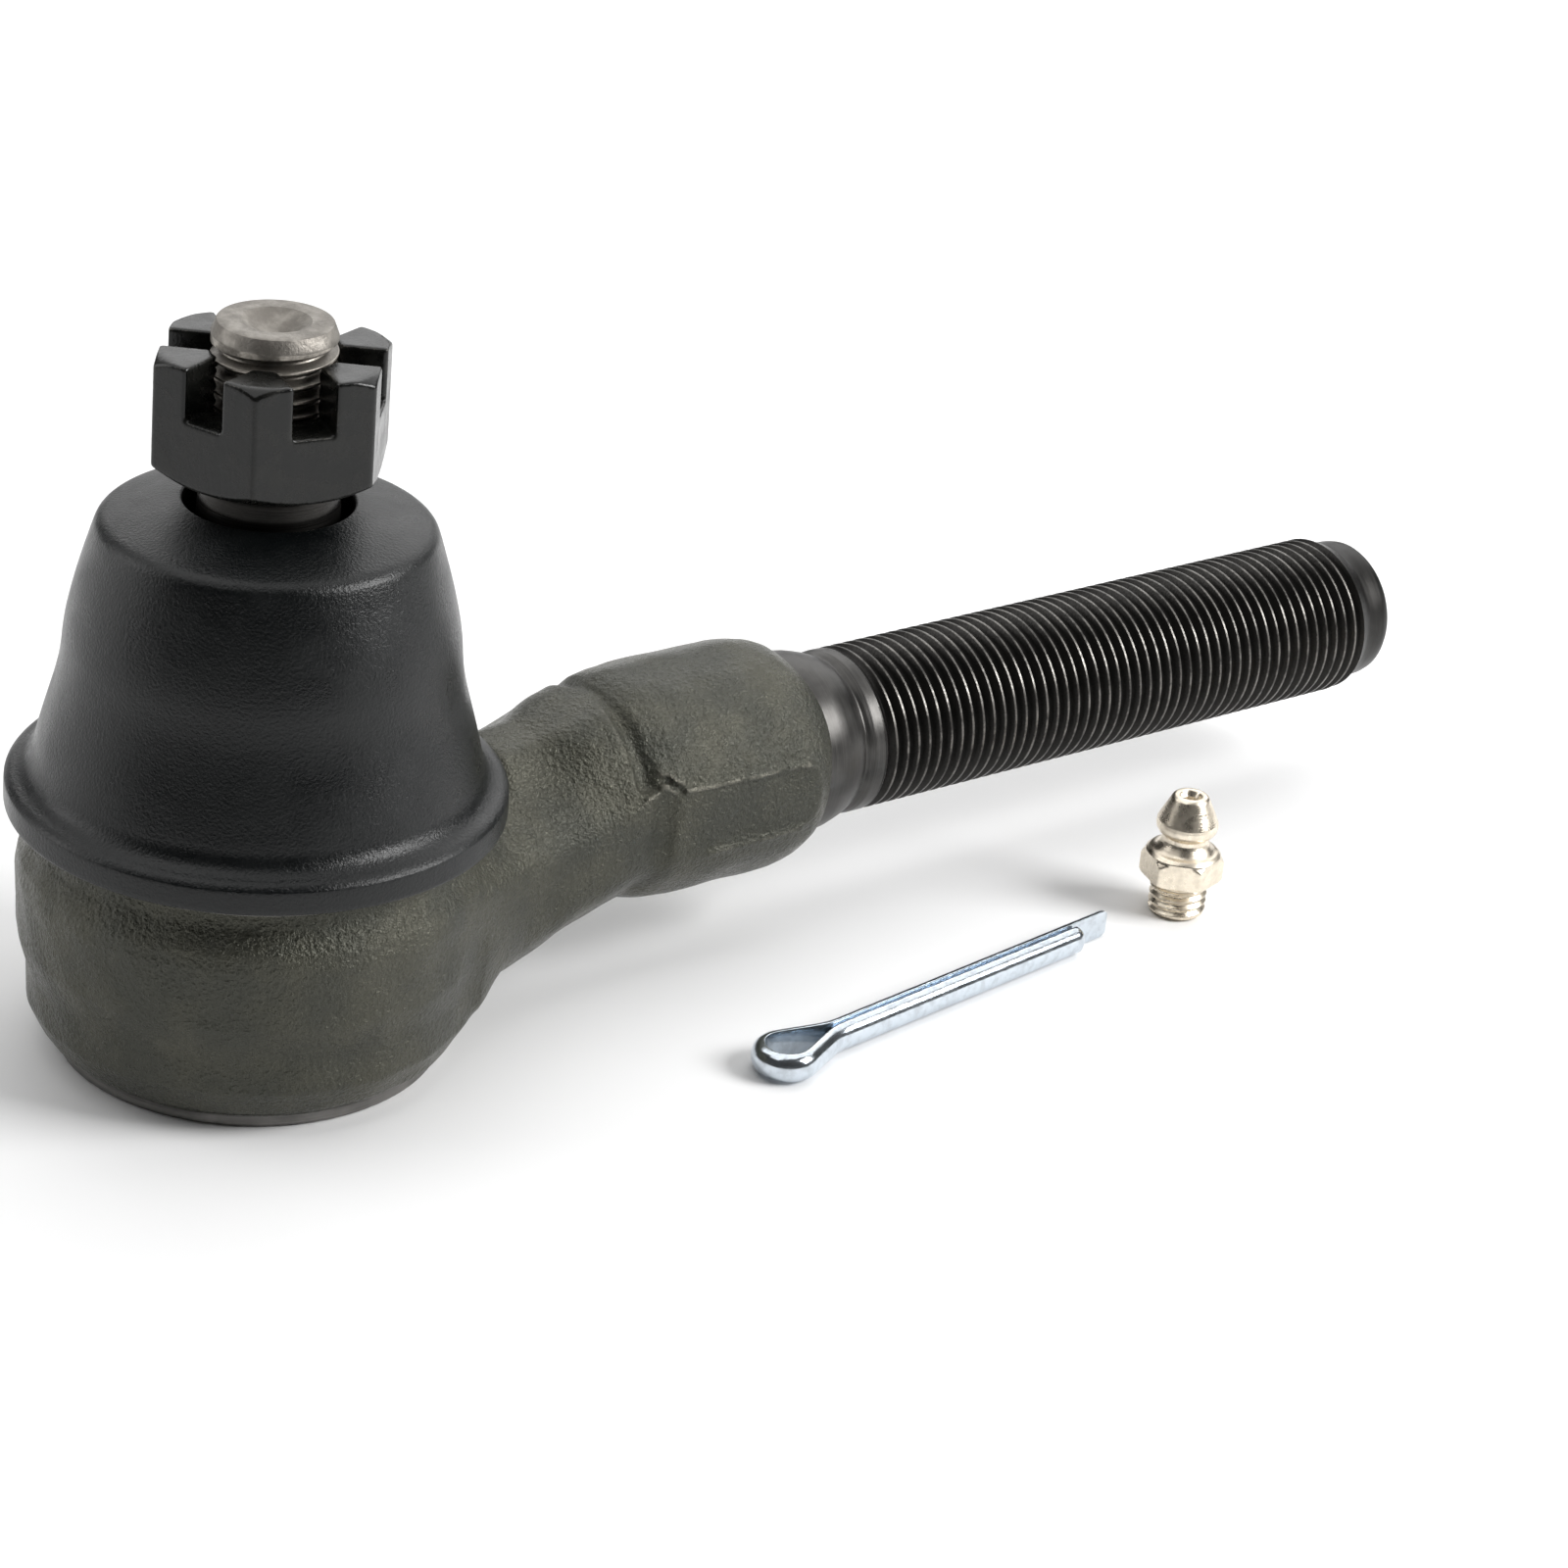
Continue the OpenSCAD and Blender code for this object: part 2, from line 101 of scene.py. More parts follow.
def poly_distance(points, u, v):
    """Signed distance to a closed polygon in the (u, v) plane, negative inside."""
    best = np.full(np.shape(u), 1e9)
    sign = np.ones(np.shape(u))
    for (au, av), (bu, bv) in zip(points, points[1:] + points[:1]):
        eu, ev = bu - au, bv - av
        wu, wv = u - au, v - av
        t = np.clip((wu * eu + wv * ev) / (eu * eu + ev * ev), 0, 1)
        best = np.minimum(best, (wu - eu * t) ** 2 + (wv - ev * t) ** 2)
        a, b, c = v >= av, v < bv, eu * wv > ev * wu
        sign = np.where((a & b & c) | (~a & ~b & ~c), -sign, sign)
    return sign * np.sqrt(best)


def capsule(x, y, z, a, b, radius):
    """Distance to a round-ended rod from a to b."""
    a, b = np.array(a, float), np.array(b, float)
    d = b - a
    wx, wy, wz = x - a[0], y - a[1], z - a[2]
    t = np.clip((wx * d[0] + wy * d[1] + wz * d[2]) / (d @ d), 0, 1)
    return np.sqrt((wx - d[0] * t) ** 2 + (wy - d[1] * t) ** 2 + (wz - d[2] * t) ** 2) - radius


def surface_of(distance, low, high, step):
    """Points and quads where a distance field crosses zero (surface nets)."""
    low = np.array(low, float)
    count = np.ceil((np.array(high, float) - low) / step).astype(int) + 1
    value = distance(*np.meshgrid(*[low[a] + step * np.arange(count[a]) for a in range(3)], indexing="ij"))
    keys, points, quads = [], [], []
    for a in range(3):
        b, c = (a + 1) % 3, (a + 2) % 3
        first, second = [slice(None)] * 3, [slice(None)] * 3
        first[a], second[a] = slice(0, -1), slice(1, None)
        v0, v1 = value[tuple(first)], value[tuple(second)]
        at = np.argwhere((v0 < 0) != (v1 < 0))
        at = at[(at[:, b] > 0) & (at[:, b] < count[b] - 1) & (at[:, c] > 0) & (at[:, c] < count[c] - 1)]
        near, far = v0[tuple(at.T)], v1[tuple(at.T)]
        p = low + step * at
        p[:, a] += step * near / (near - far)
        cells = []
        for db, dc in ((0, 0), (1, 0), (1, 1), (0, 1)):
            k = at.copy()
            k[:, b] -= db
            k[:, c] -= dc
            cells.append(np.ravel_multi_index(k.T, count))
        quad = np.stack(cells, 1)
        quad[near >= 0] = quad[near >= 0][:, ::-1]
        keys += cells
        points += [p] * 4
        quads.append(quad)
    ids, where = np.unique(np.concatenate(keys), return_inverse=True)
    points = np.concatenate(points)
    total = np.stack([np.bincount(where, points[:, i]) for i in range(3)], 1)
    return total / np.bincount(where)[:, None], np.searchsorted(ids, np.concatenate(quads))


def ring_faces(a, b):
    """Faces between two rings of point numbers; a ring of one point is a tip."""
    n = max(len(a), len(b))
    faces = []
    for i in range(n):
        j = (i + 1) % n
        if len(a) == 1 and len(b) > 1:
            faces.append((a[0], b[j], b[i]))
        elif len(b) == 1 and len(a) > 1:
            faces.append((a[i], a[j], b[0]))
        elif len(a) > 1:
            faces.append((a[i], a[j], b[j], b[i]))
    return faces


def ring_points(radius, z, segments):
    if radius < 1e-6:
        return [(0.0, 0.0, z)]
    turn = [2 * math.pi * i / segments for i in range(segments)]
    return [(radius * math.cos(t), radius * math.sin(t), z) for t in turn]


def lathe(profile, segments=128, loop=False):
    """A profile of (radius, height) turned about Z."""
    verts, rings, faces = [], [], []
    for radius, z in profile:
        ring = ring_points(radius, z, segments)
        rings.append(list(range(len(verts), len(verts) + len(ring))))
        verts += ring
    for a, b in zip(rings, rings[1:] + (rings[:1] if loop else [])):
        faces += ring_faces(a, b)
    return np.array(verts), faces


def curved(points, steps=5):
    """A smooth curve through 2-D points (Catmull-Rom)."""
    p = [points[0]] + list(points) + [points[-1]]
    out = []
    for i in range(1, len(p) - 2):
        for s in range(steps):
            t = s / steps
            out.append(tuple(
                0.5 * (2 * b + (c - a) * t + (2 * a - 5 * b + 4 * c - d) * t * t
                       + (3 * b - a - 3 * c + d) * t ** 3)
                for a, b, c, d in zip(p[i - 1], p[i], p[i + 1], p[i + 2])
            ))
    return out + [tuple(points[-1])]


# one pitch of thread: place along it, share of the full depth
THREAD_FORM = [
    (-0.075, 0.0), (-0.05, -0.02), (0.05, -0.02), (0.075, 0.0), (0.26, 0.52),
    (0.4, 0.9), (0.5, 1.0), (0.6, 0.9), (0.74, 0.52),
]


def threaded_bar(before, start, turns, radius, depth, fade_in, fade_out, after, segments, cone=None):
    """Turned bar about Z with a right-hand helical thread between two plain profiles.

    The thread runs in and out over fade_in and fade_out. A cone of (height, slope) narrows
    the bar from that height on.
    """
    verts, faces = [], []

    def add(points):
        verts.extend(points)
        return list(range(len(verts) - len(points), len(verts)))

    def plain(profile):
        rings = [add(ring_points(r, z, segments)) for r, z in profile]
        for a, b in zip(rings, rings[1:]):
            faces.extend(ring_faces(a, b))
        return rings

    low_ring = plain(before)[-1]
    n = len(THREAD_FORM)
    rows = []
    for i in range(turns * n + 1):
        along, share = THREAD_FORM[i % n]
        row = []
        for m in range(segments):
            t = 2 * math.pi * m / segments
            z = start + THREAD_PITCH * (i // n + along + m / segments)
            fade = min(1, max(0, (z - fade_in[0]) / (fade_in[1] - fade_in[0])))
            fade *= min(1, max(0, (fade_out[1] - z) / (fade_out[1] - fade_out[0])))
            r = radius - depth * share * fade * fade * (3 - 2 * fade)
            if cone:
                r = min(r, radius - cone[1] * max(0, z - cone[0]))
            row.append((r * math.cos(t), r * math.sin(t), z))
        rows.append(add(row))
    high = plain(after)[0]
    last = segments - 1
    for i in range(len(rows) - 1):
        a, b = rows[i], rows[i + 1]
        faces.extend((a[m], a[m + 1], b[m + 1], b[m]) for m in range(last))
        if i + 1 + n < len(rows):
            faces.append((a[last], rows[i + n][0], rows[i + 1 + n][0], b[last]))
    faces.extend((low_ring[m], low_ring[m + 1], rows[0][m + 1], rows[0][m]) for m in range(last))
    faces.append((low_ring[last], low_ring[0]) + tuple(rows[k][0] for k in range(n + 1)) + (rows[0][last],))
    faces.extend((rows[-1][m], rows[-1][m + 1], high[m + 1], high[m]) for m in range(last))
    seam = tuple(rows[-1 - k][last] for k in range(n))
    faces.append((rows[-1 - n][last], rows[-1][0], high[0], high[last]) + seam)
    return np.array(verts), faces


def piece(name, verts, faces, body, materials, replaces, sharp=None):
    """Makes the object from millimetre points, gives it its finish and lets it ride."""
    mesh = bpy.data.meshes.new(name)
    mesh.from_pydata((np.asarray(verts) * MM).tolist(), [], [tuple(int(i) for i in f) for f in faces])
    mesh.polygons.foreach_set("use_smooth", [True] * len(mesh.polygons))
    if sharp:
        mesh.set_sharp_from_angle(angle=math.radians(sharp))
    for m in materials:
        mesh.materials.append(m)
    obj = bpy.data.objects.new(name, mesh)
    bpy.context.scene.collection.objects.link(obj)
    if body:
        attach(obj, body)
    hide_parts(*replaces)
    return obj


def set_finishes(obj, indices):
    """Gives each face the finish of that number."""
    obj.data.polygons.foreach_set("material_index", np.asarray(indices).astype(int).tolist())


def face_middles(verts, faces, axis):
    return np.array([np.mean(verts[list(f)], 0)[axis] for f in faces])


def mark_edges(obj):
    """Stores how far each point stands out, which the finishes use for edge wear and a painted edge highlight."""
    mesh = obj.data
    n = len(mesh.vertices)
    co, normal = np.zeros(3 * n), np.zeros(3 * n)
    mesh.vertices.foreach_get("co", co)
    mesh.vertex_normals.foreach_get("vector", normal)
    co, normal = co.reshape(-1, 3), normal.reshape(-1, 3)
    edge = np.zeros(2 * len(mesh.edges), int)
    mesh.edges.foreach_get("vertices", edge)
    a, b = edge.reshape(-1, 2).T
    d = co[b] - co[a]
    d /= np.linalg.norm(d, axis=1)[:, None] + 1e-12
    out = np.bincount(a, -(normal[a] * d).sum(1), n) + np.bincount(b, (normal[b] * d).sum(1), n)
    out /= np.maximum(np.bincount(a, minlength=n) + np.bincount(b, minlength=n), 1)
    store = mesh.attributes.new("edge", "FLOAT", "POINT")
    store.data.foreach_set("value", np.clip(out, -1, 1))


# ------------------------------------------------------------------ finishes
class Finish:
    """A node material under construction."""

    def __init__(self, name, **inputs):
        self.m = bpy.data.materials.new(name)
        self.m.use_nodes = True
        self.tree = self.m.node_tree
        self.shader = self.tree.nodes["Principled BSDF"]
        for key, value in inputs.items():
            self.shader.inputs[key.replace("_", " ")].default_value = value
        self.coords = self.node("ShaderNodeTexCoord").outputs["Object"]

    def node(self, kind, **settings):
        n = self.tree.nodes.new(kind)
        for key, value in settings.items():
            setattr(n, key, value)
        return n

    def link(self, source, target):
        if isinstance(source, bpy.types.NodeSocket):
            self.tree.links.new(source, target)
        else:
            target.default_value = source

    def noise(self, size_mm, detail=3, rough=0.55, stretch=(1, 1, 1)):
        """Noise with features about size_mm across."""
        place = self.node("ShaderNodeMapping")
        place.inputs["Scale"].default_value = stretch
        self.link(self.coords, place.inputs["Vector"])
        n = self.node("ShaderNodeTexNoise")
        self.link(place.outputs["Vector"], n.inputs["Vector"])
        n.inputs["Scale"].default_value = 1 / (size_mm * MM)
        n.inputs["Detail"].default_value = detail
        n.inputs["Roughness"].default_value = rough
        return n.outputs["Fac"]

    def ramp(self, source, low, high, a=0.0, b=1.0):
        """Maps low..high of a value to a..b."""
        n = self.node("ShaderNodeMapRange")
        n.interpolation_type = "SMOOTHSTEP"
        self.link(source, n.inputs["Value"])
        for key, value in (("From Min", low), ("From Max", high), ("To Min", a), ("To Max", b)):
            n.inputs[key].default_value = value
        return n.outputs["Result"]

    def math(self, kind, a, b=0.0):
        n = self.node("ShaderNodeMath", operation=kind)
        self.link(a, n.inputs[0])
        self.link(b, n.inputs[1])
        return n.outputs[0]

    def mix(self, factor, a, b):
        n = self.node("ShaderNodeMix", data_type="RGBA")
        self.link(factor, n.inputs["Factor"])
        self.link(a, n.inputs["A"])
        self.link(b, n.inputs["B"])
        return n.outputs["Result"]

    def edge(self, low, high):
        n = self.node("ShaderNodeAttribute", attribute_name="edge")
        return self.ramp(n.outputs["Fac"], low, high)

    def place(self):
        """The three coordinates as separate values."""
        n = self.node("ShaderNodeSeparateXYZ")
        self.link(self.coords, n.inputs[0])
        return n.outputs

    def bump(self, source, depth_mm, strength=1.0, under=None):
        n = self.node("ShaderNodeBump")
        n.inputs["Strength"].default_value = strength
        n.inputs["Distance"].default_value = depth_mm * MM
        self.link(source, n.inputs["Height"])
        if under is not None:
            self.link(under, n.inputs["Normal"])
        return n.outputs["Normal"]

    def done(self, color, roughness=None, normal=None):
        for key, value in (("Base Color", color), ("Roughness", roughness), ("Normal", normal)):
            if value is not None:
                self.link(value, self.shader.inputs[key])
        return self.m


def grey(value, warm=0.0):
    return (value * (1 + warm), value, value * (1 - 1.4 * warm), 1)


def forged_finish():
    """Oiled forging scale: grainy, olive grey, lighter on edges, partly as rubbed wear and partly as a painted
    edge highlight.
    """
    f = Finish("forged_scale", Metallic=0.55, IOR=1.5)
    grain = f.noise(0.5, 3, 0.62)
    cloud = f.noise(7, 3)
    pits = f.noise(1.3, 3)
    color = f.mix(f.ramp(cloud, 0.35, 0.65), (0.050, 0.051, 0.040, 1), (0.068, 0.067, 0.050, 1))
    # edges painted lighter: partly rubbed wear, partly a painted highlight along the edges
    wear_and_edge_highlight = f.math("MULTIPLY", f.edge(0.04, 0.16), f.ramp(pits, 0.36, 0.6))
    color = f.mix(f.math("MULTIPLY", wear_and_edge_highlight, 0.6), color, (0.21, 0.20, 0.165, 1))
    rough = f.ramp(grain, 0.3, 0.7, 0.38, 0.24)
    normal = f.bump(pits, 0.16, 0.5)
    normal = f.bump(grain, 0.34, 1.0, normal)
    return f.done(color, rough, normal)


def turned_finish(name, base, rough, axis, line_mm, depth, metallic=1.0, warm=0.03):
    """Turned steel: fine rings round the given axis."""
    f = Finish(name, Metallic=metallic)
    stretch = [0.015, 0.015, 0.015]
    stretch[axis] = 1
    lines = f.noise(line_mm, 3, 0.6, tuple(stretch))
    cloud = f.noise(3.5, 3)
    color = f.mix(f.ramp(cloud, 0.35, 0.7), grey(base * 0.75, warm), grey(base * 1.15, warm))
    color = f.mix(f.ramp(lines, 0.35, 0.75, 0, 0.5), color, grey(base * 1.7, warm))
    return f.done(color, f.ramp(lines, 0.3, 0.7, rough * 0.85, rough * 1.2), f.bump(lines, depth, 0.8))


def cast_finish(name, base, rough):
    """Dull stud end: brownish grey with a fine grain."""
    f = Finish(name, Metallic=0.9)
    grain = f.noise(0.32, 4, 0.65)
    cloud = f.noise(1.8, 3)
    dull, light = (base * 0.8, base * 0.74, base * 0.66, 1), (base * 1.3, base * 1.22, base * 1.1, 1)
    color = f.mix(f.ramp(cloud, 0.35, 0.7), dull, light)
    normal = f.bump(cloud, 0.03, 0.5)
    normal = f.bump(grain, 0.07, 0.9, normal)
    return f.done(color, f.ramp(grain, 0.3, 0.7, rough * 0.9, rough * 1.2), normal)


def thread_finish(name, axis_z, crest, dark, light, along_x, span, rough, warm, metallic=0.8):
    """Dark thread with crests painted lighter, partly as rubbed wear and partly as a painted highlight; the crests
    are known by their distance from the axis.
    """
    f = Finish(name, Metallic=metallic)
    x, y, z = f.place()
    if along_x:
        along, p, q = x, y, f.math("SUBTRACT", z, axis_z * MM)
    else:
        along, p, q = z, x, y
    radius = f.math("SQRT", f.math("ADD", f.math("MULTIPLY", p, p), f.math("MULTIPLY", q, q)))
    # crest mask: crests painted lighter, partly rubbed wear, partly a painted highlight on the crests
    crest_wear_and_highlight = f.ramp(radius, (crest - 0.10) * MM, (crest - 0.01) * MM)
    first = f.ramp(along, span[0] * MM, (span[0] + THREAD_PITCH) * MM)
    last = f.ramp(along, span[1] * MM, (span[1] - THREAD_PITCH) * MM)
    crest_wear_and_highlight = f.math("MULTIPLY", crest_wear_and_highlight, f.math("MULTIPLY", first, last))
    wear = f.ramp(f.noise(2.6, 4, 0.7), 0.36, 0.64, 0.12, 1)
    fine = f.noise(0.25, 3)
    color = f.mix(f.math("MULTIPLY", crest_wear_and_highlight, wear), grey(dark, warm), grey(light, warm))
    color = f.mix(f.ramp(fine, 0.35, 0.7, 0, 0.35), color, grey(dark * 0.4, warm))
    return f.done(color, f.ramp(fine, 0.3, 0.7, rough * 0.85, rough * 1.2), f.bump(fine, 0.012, 0.5))


def rubber_finish():
    """Satin moulded rubber with a fine skin and a little dust."""
    f = Finish("boot_rubber", Metallic=0.0, IOR=1.42)
    skin = f.noise(0.3, 3, 0.6)
    wave = f.noise(5, 3)
    dust = f.ramp(f.noise(0.9, 5, 0.8), 0.70, 0.80)
    color = f.mix(f.ramp(wave, 0.35, 0.7), (0.0022, 0.0030, 0.0033, 1), (0.0040, 0.0050, 0.0052, 1))
    color = f.mix(f.math("MULTIPLY", dust, 0.3), color, grey(0.05, 0.02))
    rough = f.ramp(wave, 0.3, 0.7, 0.26, 0.36)
    normal = f.bump(wave, 0.20, 0.25)
    normal = f.bump(skin, 0.09, 0.9, normal)
    return f.done(color, rough, normal)


def oxide_finish():
    """Black oxide nut: smooth, near black, lighter on the corners, partly as rubbed wear and partly as a painted
    edge highlight.
    """
    f = Finish("black_oxide", Metallic=0.0, IOR=1.42)
    cloud = f.noise(2.2, 4, 0.6)
    fine = f.noise(0.35, 3)
    color = f.mix(f.ramp(cloud, 0.35, 0.7), (0.0030, 0.0034, 0.0030, 1), (0.0085, 0.0085, 0.0072, 1))
    # corners painted lighter: partly rubbed wear, partly a painted highlight along the edges
    wear_and_edge_highlight = f.math("MULTIPLY", f.edge(0.10, 0.30), f.ramp(cloud, 0.40, 0.6))
    color = f.mix(f.math("MULTIPLY", wear_and_edge_highlight, 0.4), color, grey(0.26, 0.08))
    normal = f.bump(cloud, 0.14, 0.4)
    normal = f.bump(fine, 0.03, 0.6, normal)
    return f.done(color, f.ramp(cloud, 0.3, 0.7, 0.20, 0.32), normal)


def plated_finish(name, tint, rough, blotch, line_mm, axis, depth):
    """Bright plated steel with drawing or turning lines and slight blotches."""
    f = Finish(name, Metallic=1.0)
    stretch = [0.02, 0.02, 0.02]
    stretch[axis] = 1
    lines = f.noise(line_mm, 3, 0.6, tuple(stretch))
    cloud = f.noise(1.2, 4, 0.6)
    dark = tuple(c * blotch for c in tint[:3]) + (1,)
    color = f.mix(f.ramp(cloud, 0.4, 0.68), tint, dark)
    normal = f.bump(cloud, 0.02, 0.5)
    normal = f.bump(lines, depth, 0.8, normal)
    return f.done(color, f.ramp(cloud, 0.3, 0.7, rough * 0.8, rough * 1.3), normal)


forged = forged_finish()
machined = turned_finish("turned_black", 0.065, 0.36, 0, 0.10, 0.010)
tip_finish = turned_finish("turned_tip", 0.03, 0.40, 0, 0.10, 0.010)
# machined steel of the foot band, spigot and bore: made lighter than its own turned tone as a painted floor
# reflection where the band sits in shade
foot_steel_and_painted_reflection = turned_finish("turned_foot_and_painted_reflection", 0.20, 0.5, 2, 0.2, 0.010)
shank_thread = thread_finish("shank_thread", BALL_Z, SHANK_R, 0.024, 0.17, True, (72.6, 143), 0.34, 0.05)
stud_thread = thread_finish("stud_thread", 0, STUD_R, 0.17, 0.45, False, (61, 76), 0.40, 0.08, 0.95)
stud_steel = cast_finish("stud_end", 0.24, 0.46)
stud_dark = turned_finish("stud_taper_dark", 0.035, 0.30, 2, 0.14, 0.012, 0.9, 0.05)
rubber = rubber_finish()
oxide = oxide_finish()
zinc = plated_finish("bright_zinc", (0.66, 0.72, 0.78, 1), 0.16, 0.80, 0.25, 1, 0.02)
nickel = plated_finish("bright_nickel", (0.88, 0.79, 0.65, 1), 0.28, 0.84, 0.14, 2, 0.035)
ball_steel = turned_finish("polished_ball", 0.55, 0.12, 2, 0.1, 0.002)
spring_wire = turned_finish("spring_wire", 0.30, 0.28, 2, 0.1, 0.005)
bronze = turned_finish("bearing_bronze", 0.36, 0.38, 2, 0.2, 0.01, 1.0, 0.35)
plain_steel = turned_finish("plain_steel", 0.26, 0.36, 2, 0.2, 0.01)


# ------------------------------------------------------------------ forging
# (radius, height) inside the 0.8 rounding
SOCKET_SIDE = [
    (0, 2.0), (18.9, 2.0), (20.2, 2.9), (21.4, 5.4), (21.5, 9.0), (22.4, 12.6),
    (22.58, 19.0), (22.35, 20.4), (21.0, 22.7), (20.74, 24.0), (20.74, 28.05), (0, 28.05),
]
SOCKET_BORE = [
    (-1, -2), (15.44, -2), (15.84, 1.3), (17.34, 1.3), (17.34, 23.06),
    (13.67, 26.81), (11.93, 26.81), (13.2, 29.4), (-1, 29.4),
]
# (along X, radius) of the wrench block
BLOCK_SIDE = [
    (40.04, 0), (40.04, 10.8), (40.6, 11.4), (41.8, 11.95), (43.3, 12.3), (46, 12.5), (58.5, 12.5),
    (60.0, 12.3), (61.4, 11.95), (62.6, 11.4), (63.7, 10.6), (64.54, 9.8), (64.54, 0),
]
# fold left by the forging dies where the crease runs into the block
LAP = [
    (36.4, -11.9, 21.2), (37.2, -11.8, 21.5), (38.4, -11.6, 22.1), (39.2, -11.3, 22.8),
    (40.0, -11.0, 23.5), (40.9, -10.8, 23.8), (41.9, -10.9, 23.4), (42.7, -11.3, 22.7),
    (43.3, -11.7, 22.3),
]


def neck_shape(x, ay, z, axis_r):
    """Forged neck: side walls, a roof up to the spine, and an underside that tucks in."""
    wide = np.interp(x, [0, 14, 17, 20, 24, 28, 34, 41], [17, 17, 16.6, 15.2, 13.3, 12.3, 11.85, 11.65])
    low = np.interp(x, [0, 14, 17, 22, 27, 31, 34, 40], [17, 17, 16, 11.3, 9.3, 7.2, 5.8, 4.0])
    wall = np.interp(x, [20, 28, 34, 40], [9.5, 10.2, 11.8, 13.8])
    floor = np.interp(x, [28, 34, 38, 42], [5.6, 5.9, 6.6, 7.6])
    spine = np.interp(x, [25.3, 26.8, 31.5, 34, 36, 39.4, 44], [25.0, 26.2, 26.7, 27.6, 28.2, 28.9, 29.3])
    half = np.interp(x, [24, 33, 40], [4.6, 4.4, 5.4])
    crease = np.interp(x, [18, 30, 34, 36.6, 38.3, 40, 44], [19.2, 19.5, 20.4, 21.2, 22.1, 23.0, 23.4])
    up, across = spine - crease, wide - half
    roof = ((ay - wide) * up + (z - crease) * across) / np.hypot(up, across)
    up, across = wall - 5.9, wide - low
    under = ((ay - low) * up - (z - 5.9) * across) / np.hypot(up, across)
    neck = smax(ay - wide, roof, np.interp(x, [24, 34, 38], [1.5, 0.9, 0.4]))
    neck = smax(neck, z - spine, 1.8)
    neck = smax(smax(neck, under, 1.6), floor - z, 1.4)
    neck = smax(neck, np.abs(x - 23) - 21, 0.5)
    hollow = np.sqrt((x - 28) ** 2 + (ay - 11) ** 2 + (z - 31.5) ** 2) - 8.9
    neck = smax(neck, -hollow, 1.6)
    undercut = np.hypot(x - 39.7, axis_r - 12.2) - 1.35
    return smax(neck, -smax(undercut, 22.4 - z, 1.0), 0.35)


def block_shape(x, ay, z, axis_r):
    """Round block with a wrench flat and a low ridge along each edge of the flat."""
    block = poly_distance(BLOCK_SIDE, x, axis_r)
    block = np.maximum(block, smin(ay - BLOCK_FLAT, x - 43.0, 0.5))
    block = smin(block, capsule(x, ay, z, (43.9, 11.78, 22.1), (59.6, 11.72, 21.75), 0.36), 0.25)
    return smin(block, capsule(x, ay, z, (47.5, 11.7, 14.2), (59.4, 11.7, 14.4), 0.30), 0.5)


def forging(x, y, z):
    ay, r, axis_r = np.abs(y), np.hypot(x, y), np.hypot(y, z - BALL_Z)
    bowl = poly_distance(SOCKET_SIDE, r, z) - 0.8
    neck = neck_shape(x, ay, z, axis_r)
    body = smin(bowl, neck, np.interp(x, [16, 24, 30], [2.0, 3.5, 1.0]))
    body = smin(body, block_shape(x, ay, z, axis_r), 0.25)
    valley = capsule(x, ay, z, (40.7, 13.45, 8), (41.5, 13.5, 21.2), 2.35)
    body = smax(body, -valley, 0.5)
    wave = np.sin(0.9 * x + 0.5 * y + 0.3 * z)
    wave = wave + np.sin(1.1 * y - 0.8 * z + 1) + np.sin(0.7 * z - 0.6 * x + 2)
    body = body + 0.035 * wave
    groove = np.full(np.shape(x), 9.0)
    for a, b in zip(LAP, LAP[1:]):
        groove = np.minimum(groove, capsule(x, y, z, a, b, 0.42))
    body = smax(body, -groove, 0.15)
    keep_clear = smax(np.maximum(25.2 - z, r - RIM_R - 0.5), 21.2 - r, 0.2)
    body = smax(body, -keep_clear, 0.3)
    foot = np.maximum(r - 19.34, np.abs(z - 1.5) - 1.5)
    body = smin(body, foot, 0.3)
    spigot = np.maximum(r - 21.54, np.maximum(24 - z, z - 28.85))
    body = np.minimum(body, spigot)
    return smax(body, -poly_distance(SOCKET_BORE, r, z), 0.15)


grid = 0.27
verts, faces = surface_of(forging, (-24.3, -24.3, -0.9), (65.6, 24.3, 31.4), grid)
socket = piece("housing_forging", verts, faces, "socket", [forged, foot_steel_and_painted_reflection], ["housing"])
middle = verts[faces].mean(1)
spin = np.hypot(middle[:, 0], middle[:, 1])
foot, spigot = (middle[:, 2] < 1.35) & (spin < 19.7), (middle[:, 2] > 24.3) & (spin < 21.7)
set_finishes(socket, foot | spigot | (spin < 17.6))
mark_edges(socket)

# ------------------------------------------------------------------ shank
# (radius, place along X)
collar = [
    (0, 60), (9.4, 60), (9.8, 61), (9.9, 62), (9.9, 65.9), (9.78, 66.7), (9.55, 67.6), (9.28, 68.5),
    (9.0, 69.2), (8.74, 69.7), (8.62, 70.0), (8.62, 70.25), (8.84, 70.5), (8.84, 70.7), (8.98, 70.95),
    (SHANK_R, 71.2), (SHANK_R, 71.4),
]
tip = [
    (8.42, 143.85), (8.2, 144.2), (8.1, 144.6), (8.05, 145.5), (8.0, 146.8), (7.85, 147.5),
    (7.5, 147.95), (6.9, SHANK_END), (0, SHANK_END),
]
run_in, run_out = (72.0, 73.9), (142.4, 143.4)
verts, faces = threaded_bar(collar, 71.71, 47, SHANK_R, 0.92, run_in, run_out, tip, 128, cone=(142.9, 0.68))
verts = verts[:, [2, 0, 1]] + (0, 0, BALL_Z)
finishes = [machined, shank_thread, tip_finish]
shank = piece("housing_shank", verts, faces, "socket", finishes, ["housing"], 42)
middle = face_middles(verts, faces, 0)
set_finishes(shank, (middle > 72.3).astype(int) + (middle > 143.3))

